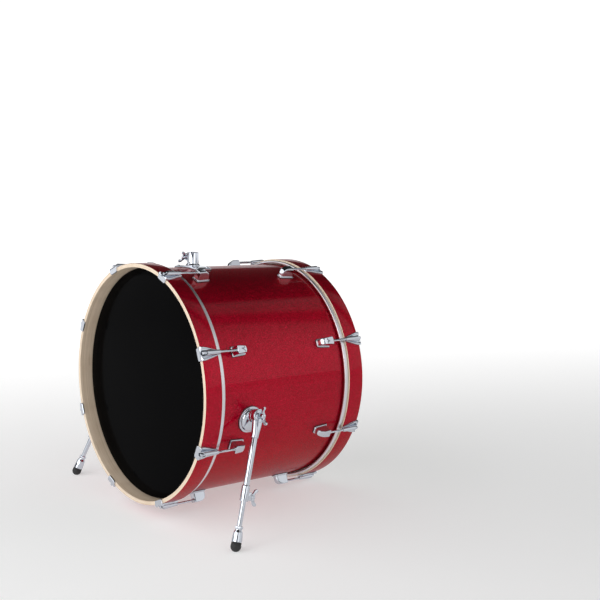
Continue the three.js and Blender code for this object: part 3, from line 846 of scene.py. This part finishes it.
def leg_mesh():
    """The knuckle, the tapered neck, the tube and the split clamp collar."""
    corners = [
        (0, -KNUCKLE_HALF, 0), (KNUCKLE_RADIUS, -KNUCKLE_HALF, 0.8), (KNUCKLE_RADIUS, KNUCKLE_HALF, 2.2),
        (KNUCKLE_RADIUS - 3.6, KNUCKLE_HALF, 0.8), (KNUCKLE_RADIUS - 4.6, KNUCKLE_HALF - 2.2, 0.8),
        (8.2, KNUCKLE_HALF - 2.2, 0.8), (7.4, KNUCKLE_HALF - 0.6, 0.6), (0, KNUCKLE_HALF - 0.6, 0)]
    knuckle = lathed("knuckle", eased(corners, 1, 5, closed=False), 72, ON_HINGE)

    def section(z, half_x, half_y, power=3.2):
        out = []
        for n in range(48):
            turn = math.tau * n / 48
            c, s = math.cos(turn), math.sin(turn)
            x = half_x * math.copysign(abs(c) ** (2 / power), c)
            y = half_y * math.copysign(abs(s) ** (2 / power), s)
            out.append(ON_LEG @ Vector((x, z, y)))
        return out
    neck = skin("neck", [
        section(4, 6.4, 12.6), section(12, 6.6, 12.4), section(18, 7.2, 11.7), section(26, 8.2, 10.6, 2.8),
        section(34, 8.8, 9.6, 2.4), section(42, 8.9, 9.0, 2.1), section(NECK_END - 0.9, 8.7, 8.7, 2),
        section(NECK_END, 8.0, 8.0, 2)])
    tube = lathed("tube", eased([
        (LEG_BORE, NECK_END - 4, 0.1), (TUBE_RADIUS, NECK_END - 4, 0.1),
        (TUBE_RADIUS, COLLAR_START + 1, 0.1), (LEG_BORE, COLLAR_START + 1, 0.1),
    ], 0.1, 2), 48, ON_LEG)
    collar = lathed("collar", eased([
        (LEG_BORE, COLLAR_START - 0.5, 0.2), (TUBE_RADIUS + 0.4, COLLAR_START - 0.5, 0.3),
        (COLLAR_RADIUS, COLLAR_START + 2.2, 1.4), (COLLAR_RADIUS, COLLAR_END, 1.2),
        (LEG_BORE, COLLAR_END, 0.4),
    ], 1, 4), 48, ON_LEG)
    # The ears stand behind the leg, on the far side from its fore direction.
    back = -FORE
    ear_frame = frame_of(PIVOT + DOWN_LEG * CLAMP_AT, HINGE, back, HINGE.cross(back))
    ear = prism("ear", eased([(-6, 6.6), (6, 6.6), (5.2, 16.5, 2.5), (-5.2, 16.5, 2.5)], 1.5, 4), 19,
                ear_frame @ Matrix.Translation((0, 0, -9.5)), 1.3)
    slit = prism("slit", eased([(-0.8, 4), (0.8, 4), (0.8, 22), (-0.8, 22)], 0.1, 1), 50,
                 ear_frame @ Matrix.Translation((0, 0, -16)), 0.05)
    split = carved("collar", collar, [("UNION", ear), ("DIFFERENCE", slit)], 30)
    return joined("leg", [carved("knuckle", knuckle, [("UNION", neck)], 30), tube, split], 30)


def spur_rod_meshes():
    """The inner rod, its knurled nut, the bell cup and the rubber tip, worn flat on the floor."""
    rod = lathed("inner_rod", eased([
        (0, 100, 0), (INNER_RADIUS, 100, 0.6), (INNER_RADIUS, NUT_START + 4, 0.3), (0, NUT_START + 4, 0),
    ], 0.5, 3, closed=False), 40, ON_LEG)
    sides, rings = 96, []
    for z, radius, grip in (
            (NUT_START, 7.9, 0), (NUT_START + 0.7, 8.7, 0.6), (NUT_START + 1.2, 8.9, 1),
            (BELL_START - 1.6, 8.9, 1), (BELL_START - 1.1, 8.7, 0.6), (BELL_START - 0.5, 7.9, 0)):
        ring = []
        for n in range(sides):
            turn = math.tau * n / sides
            knurled = radius - 0.3 * grip * (n % 3 == 0)
            ring.append(ON_LEG @ Vector((knurled * math.cos(turn), z, knurled * math.sin(turn))))
        rings.append(ring)
    nut = skin("nut", rings, sharp=25)
    bell = lathed("bell", eased([
        (0, BELL_START - 0.4, 0), (7.6, BELL_START - 0.4, 0.6), (7.8, BELL_START + 1.8, 1.2),
        (10.4, BELL_START + 7, 4), (11.6, BELL_START + 16, 8), (12.1, RUBBER_START - 0.5, 1),
        (12.1, RUBBER_START + 1.2, 0.6), (0, RUBBER_START + 1.2, 0),
    ], 1, 6, closed=False), 72, ON_LEG)
    centre = LEG_LENGTH - RUBBER_RADIUS
    start = RUBBER_START + 1.4
    profile = [(0, start), (10.6, start), (11.3, start + 0.4), (11.7, start + 1.4), (11.2, start + 2.0),
               (11.2, start + 2.8), (11.95, start + 3.4)]
    first = math.asin((start + 4.6 - centre) / RUBBER_RADIUS)
    for k in range(11):
        turn = first + (math.pi / 2 - first) * k / 10
        profile.append((RUBBER_RADIUS * math.cos(turn), centre + RUBBER_RADIUS * math.sin(turn)))
    profile[-1] = (0, LEG_LENGTH)
    ball = lathed("ball", profile, 56, ON_LEG)
    # The floor under the rubber, a block that reaches a hair above zero so that it leaves a flat.
    ground = box("ground", (1, 1, 0.2), Matrix.Scale(1000, 4) @ DRUM.inverted()
                 @ Matrix.Translation((0.3, 0, -0.09998)))
    tip = carved("tip", ball, [("DIFFERENCE", ground)], 40)
    return rod, nut, bell, tip


def mirrored(mesh):
    copy = mesh.copy()
    copy.name = f"left_{mesh.name}"
    copy.transform(Matrix.Scale(-1, 4, (1, 0, 0)))
    copy.flip_normals()
    return copy


def make_spurs():
    bracket, pad = bracket_meshes()
    rod, nut, bell, tip = spur_rod_meshes()
    upright = DOWN_LEG.copy()
    upright.rotate(Matrix.Rotation(math.asin(-DOWN_LEG.y), 4, HINGE))
    clamp_at = PIVOT + DOWN_LEG * CLAMP_AT
    hinge_screw = wing_screw("hinge_screw", PIVOT, HINGE, upright, 43, KNUCKLE_HALF - 0.5, 19, 6.4)
    rows = (("spur_flange", bracket, CHROME, "chrome", "drum", "spur_bracket"),
            ("spur_flange_gasket", pad, RUBBER, "rubber", "drum", None),
            ("spur_tube", leg_mesh(), CHROME, "chrome", "spur_leg", "spur_leg"),
            ("spur_hinge_screw", hinge_screw, CHROME, "chrome", "spur_leg", None),
            ("spur_inner_rod", rod, CHROME, "chrome", "spur_rod", "spur_rod"),
            ("spur_nut", nut, CHROME, "chrome", "spur_rod", None),
            ("spur_bell", bell, CHROME, "chrome", "spur_rod", None),
            ("spur_rubber_tip", tip, RUBBER, "rubber", "spur_rod", None))
    for name, mesh, look, slot, body, node in rows:
        for hand, shape in (("left", mirrored(mesh)), ("right", mesh)):
            piece(f"{hand}_{name}", shape, look, slot, body if body == "drum" else f"{hand}_{body}",
                  stands_for=[f"{hand}_{node}"] if node else ())
    # One clamp screw is tightened along its leg and the other across it.
    along_leg = wing_screw("clamp_screw", clamp_at, -FORE, DOWN_LEG, 39, 15.2, 25, 5.2)
    across_leg = wing_screw("turned_screw", clamp_at, -FORE, HINGE, 39, 15.2, 25, 5.2)
    piece("right_spur_clamp_screw", along_leg, CHROME, "chrome", "right_spur_leg")
    piece("left_spur_clamp_screw", mirrored(across_leg), CHROME, "chrome", "left_spur_leg")


# ---- Tom mount on top of the shell ---------------------------------------------------------------------

MOUNT_PLATE = (100, 48)  # round the shell, along the shell
PLATE_THICKNESS = 4.5
RECEIVER_RADIUS = 14.5
RECEIVER_HEIGHT = 33
POST_BORE = 11.3
NOTCH_AT = math.radians(50)  # round the receiver, from the front towards the right


def make_tom_mount():
    t = PLATE_THICKNESS
    top = SHELL_RADIUS + t
    upright = Matrix.Translation((0, MOUNT_Y, 0)) @ Matrix.Rotation(math.pi / 2, 4, "X")
    plate = slab_on_shell("mount_plate", 0, GASKET, t)
    pad = slab_on_shell("mount_gasket", -0.9, 0.05, GASKET - 0.02)
    receiver = lathed("receiver", eased([
        (0, top - 2, 0), (RECEIVER_RADIUS + 3.4, top - 2, 0), (RECEIVER_RADIUS + 3.4, top + 1.8, 0.9),
        (RECEIVER_RADIUS, top + 5.2, 1.6), (RECEIVER_RADIUS, top + RECEIVER_HEIGHT, 1.0),
        (0, top + RECEIVER_HEIGHT, 0),
    ], 1, 5, closed=False), 72, upright)
    clamp = top + RECEIVER_HEIGHT - 13
    ear = prism("mount_ear", eased([(-25.5, -7.5, 3.5), (-8, -7.5), (-8, 7.5), (-25.5, 7.5, 3.5)], 1.6, 5),
                18.5, Matrix.Translation((0, MOUNT_Y, clamp - 9)), 1.4)
    slit = prism("mount_slit", eased([(-30, -1.1), (-6, -1.1), (-6, 1.1), (-30, 1.1)], 0.1, 1),
                 RECEIVER_HEIGHT, Matrix.Translation((0, MOUNT_Y, top + 7)), 0.05)
    bore = lathed("post_bore", [(0, 262), (POST_BORE, 262), (POST_BORE, 340), (0, 340)], 64, upright)
    rim = top + RECEIVER_HEIGHT
    # The rim's notch for the post's lock faces forward and to the right.
    facing = Vector((math.sin(NOTCH_AT), -math.cos(NOTCH_AT), 0))
    sideways = Vector((math.cos(NOTCH_AT), math.sin(NOTCH_AT), 0))
    corners = ((-4.6, 1), (4.6, 1), (0.9, -12.5), (-0.9, -12.5))
    notch = skin("key_notch", [[Vector((0, MOUNT_Y, rim + z)) + sideways * x + facing * out
                                for x, z in corners] for out in (2, 22)])
    clamped = carved("clamp", receiver, [("UNION", ear)], 30)
    split = carved("split", clamped, [("DIFFERENCE", slit), ("DIFFERENCE", notch)], 30)
    body = carved("mount", plate, [("UNION", split), ("DIFFERENCE", bore)], 30)
    piece("tom_mount_body", body, CHROME, "chrome", stands_for=["tom_mount"])
    hole = lathed("pad_hole", [(0, 262), (12.0, 262), (12.0, 340), (0, 340)], 48, upright)
    piece("tom_mount_gasket", carved("mount_pad", pad, [("DIFFERENCE", hole)], 30), RUBBER, "rubber")
    screw = wing_screw("tom_clamp_screw", Vector((-19.5, MOUNT_Y, clamp)), Vector((0, -1, 0)),
                       Vector((0.6, 0, 0.8)), 33, 6.5, 16, 4.8)
    piece("tom_clamp_wing_screw", screw, CHROME, "chrome")
    for x in (-1, 1):
        for y in (-1, 1):
            turn = math.asin(x * 40 / SHELL_RADIUS)
            out = Vector((math.sin(turn), 0, math.cos(turn)))
            spot = out * (SHELL_RADIUS + t - 0.1) + Vector((0, MOUNT_Y + y * 15.5, 0))
            piece(f"tom_mount_screw_{'left' if x < 0 else 'right'}_{'front' if y < 0 else 'rear'}",
                  plate_screw(spot, out), CHROME, "chrome")


def slab_on_shell(name, inset, low, high):
    """The mount plate's outline as a slab bent to the shell, between two heights above it."""
    wide, long = MOUNT_PLATE[0] / 2 - inset, MOUNT_PLATE[1] / 2 - inset
    across, rings = 60, []
    ease = min(1.2, (high - low) * 0.35)
    for k in range(across + 1):
        s = -math.cos(math.pi * k / across)
        x = wide * s
        corner = max(0.0, abs(x) - (wide - 7))
        half = long - (7 - math.sqrt(max(0.0, 49 - corner * corner)))
        soft = ease * (1 - math.sqrt(max(0.0, 1 - max(0.0, (abs(x) - wide + ease) / ease) ** 2)))
        turn = math.asin(x / SHELL_RADIUS)
        out, along = Vector((math.sin(turn), 0, math.cos(turn))), Vector((0, 1, 0))
        base = Vector((0, MOUNT_Y, 0))
        shoulder, side = high - 0.3 * ease - soft, high - ease - soft * 0.5
        rows = [(-half + ease, high - soft), (half - ease, high - soft), (half - 0.3 * ease, shoulder),
                (half, side), (half, low), (-half, low), (-half, side), (-half + 0.3 * ease, shoulder)]
        ring = []
        for (y0, r0), (y1, r1) in zip(rows, rows[1:] + rows[:1]):
            steps = 10 if abs(y1 - y0) > 5 else 1
            ring += [out * (SHELL_RADIUS + r0 + (r1 - r0) * m / steps)
                     + along * (y0 + (y1 - y0) * m / steps) + base for m in range(steps)]
        rings.append(ring)
    return skin(name, rings, sharp=30)


def plate_screw(spot, out):
    """A domed screw head with a cross recess."""
    along = Vector((0, 1, 0))
    place = frame_of(spot, along, out, along.cross(out))
    head = lathed("plate_screw", [
        (0, -1), (4.3, -1), (4.3, 0.6), (4.0, 1.3), (3.1, 2.0), (1.8, 2.4), (0, 2.5)], 28, place)
    top = place @ Matrix.Translation((0, 4.2, 0)) @ Matrix.Rotation(math.pi / 2, 4, "X")
    cuts = [("DIFFERENCE", prism("recess", [(-x, -z), (x, -z), (x, z), (-x, z)], 3, top, 0.05))
            for x, z in ((2.2, 0.45), (0.45, 2.2))]
    return carved("plate_screw", head, cuts, 30)


make_shell()
make_hoops()
make_heads()
make_stations()
make_spurs()
make_tom_mount()


# ---- Floor, light and camera -----------------------------------------------------------------------

# Level direction from the camera to the backdrop.
BACKDROP_WAY = (-0.76, 0.65)
FLOOR_REACH = 60  # metres from the drum to the floor's edges


def make_floor():
    """A pale floor with painted light: it glows, brightening away from the camera up to the white backdrop.
    """
    n = Nodes("studio_floor")
    spread = n.noise(0.8)
    away = n.add("ShaderNodeVectorMath", {"operation": "DOT_PRODUCT"}, _0=n.place,
                 _1=(*BACKDROP_WAY, 0)).outputs["Value"]
    # Painted light: the floor's own glow, weakest on the camera's side and strongest towards the backdrop.
    glow = n.edge(away, -0.4, 3.2, 0.40, 1.0)
    colour = n.ramp(spread, (0.2, (0.60, 0.60, 0.60)), (0.8, (0.63, 0.63, 0.63)))
    look = n.finish(Base_Color=colour, Roughness=0.75, Specular_IOR_Level=0.1,
                    Emission_Color=(1, 1, 1, 1), Emission_Strength=glow)
    mesh = bpy.data.meshes.new("floor")
    far = FLOOR_REACH
    mesh.from_pydata([(-far, -far, 0), (far, -far, 0), (far, far, 0), (-far, far, 0)], [], [(0, 1, 2, 3)])
    mesh.materials.append(look)
    floor = bpy.data.objects.new("floor", mesh)
    bpy.context.collection.objects.link(floor)


# Dark flags round the studio: heading and half width in degrees from +X, and how dark.
FLAGS = ((-31, 58, 0.8), (40, 42, 0.12), (14, 7, 0.8), (66, 6, 0.8), (-140, 34, 0.9), (186, 8, 0.9))


def make_world():
    """A white studio with a dim ceiling, and a few dark flags for the chrome to reflect."""
    world = bpy.data.worlds.new("studio")
    bpy.context.scene.world = world
    studio = Tree(world, "Generated")
    x, y, z = studio.add("ShaderNodeSeparateXYZ", Vector=studio.place).outputs
    around = studio.math("ARCTAN2", y, x)
    ceiling = studio.edge(z, 0.30, 0.95, 0.0, 0.72)
    light = studio.math("SUBTRACT", 1.08, ceiling)
    above = studio.edge(z, 0.21, 0.29)
    behind = studio.edge(x, 0.05, -0.05)
    patch = studio.math("MULTIPLY", studio.math("MULTIPLY", above, behind), 0.95)
    overhead = studio.math("SUBTRACT", 1.0, patch)
    light = studio.math("MULTIPLY", light, overhead)
    height = studio.edge(z, 0.02, 0.28, 0.35, 1.0)
    for heading, half, depth in FLAGS:
        off = studio.math("SUBTRACT", around, math.radians(heading))
        wrapped = studio.math("ARCTAN2", studio.math("SINE", off), studio.math("COSINE", off))
        turn = studio.math("ABSOLUTE", wrapped)
        flag = studio.edge(turn, math.radians(half + 4), math.radians(half - 4), 0.0, depth)
        shade = studio.math("SUBTRACT", 1.0, studio.math("MULTIPLY", flag, height))
        light = studio.math("MULTIPLY", light, shade)
    background = studio.tree.nodes["Background"]
    studio.set(background, "Strength", light)
    studio.set(background, "Color", (1, 1, 1, 1))


def softbox(name, place, aim, size, power):
    light = bpy.data.lights.new(name, "AREA")
    light.shape, light.size, light.size_y, light.energy = "RECTANGLE", size[0], size[1], power
    lamp = bpy.data.objects.new(name, light)
    bpy.context.collection.objects.link(lamp)
    lamp.visible_camera = False
    lamp.location = place
    lamp.rotation_mode = "QUATERNION"
    lamp.rotation_quaternion = (Vector(aim) - Vector(place)).to_track_quat("-Z", "Y")


# The photograph's camera in the drum's frame: place in metres, then angles in degrees.
CAMERA_PLACE = (2.074, -1.258, 0.474)
CAMERA_HEADING, CAMERA_DIP, CAMERA_ROLL = 49.53, 6.16, 1.66
CAMERA_LENS = 60.4
SENSOR = 36


def make_camera():
    data = bpy.data.cameras.new("camera")
    data.lens, data.sensor_width = CAMERA_LENS, SENSOR
    camera = bpy.data.objects.new("camera", data)
    bpy.context.collection.objects.link(camera)
    heading, dip, roll = (math.radians(a) for a in (CAMERA_HEADING, CAMERA_DIP, CAMERA_ROLL))
    turn = (Matrix.Rotation(heading, 4, "Z") @ Matrix.Rotation(math.pi / 2 - dip, 4, "X")
            @ Matrix.Rotation(roll, 4, "Z"))
    camera.matrix_world = DRUM @ Matrix.Translation(CAMERA_PLACE) @ turn
    bpy.context.scene.camera = camera


make_floor()
make_world()
softbox("key", (-1.6, -2.6, 2.6), (0, 0, 0.3), (3.8, 3.2), 60)
softbox("side", (2.9, -0.1, 1.6), (0, 0, 0.3), (2.0, 2.4), 16)
softbox("front", (0.9, -3.2, 1.6), (0, 0, 0.3), (3.2, 2.4), 60)
make_camera()
bpy.context.scene.view_settings.view_transform = "Standard"
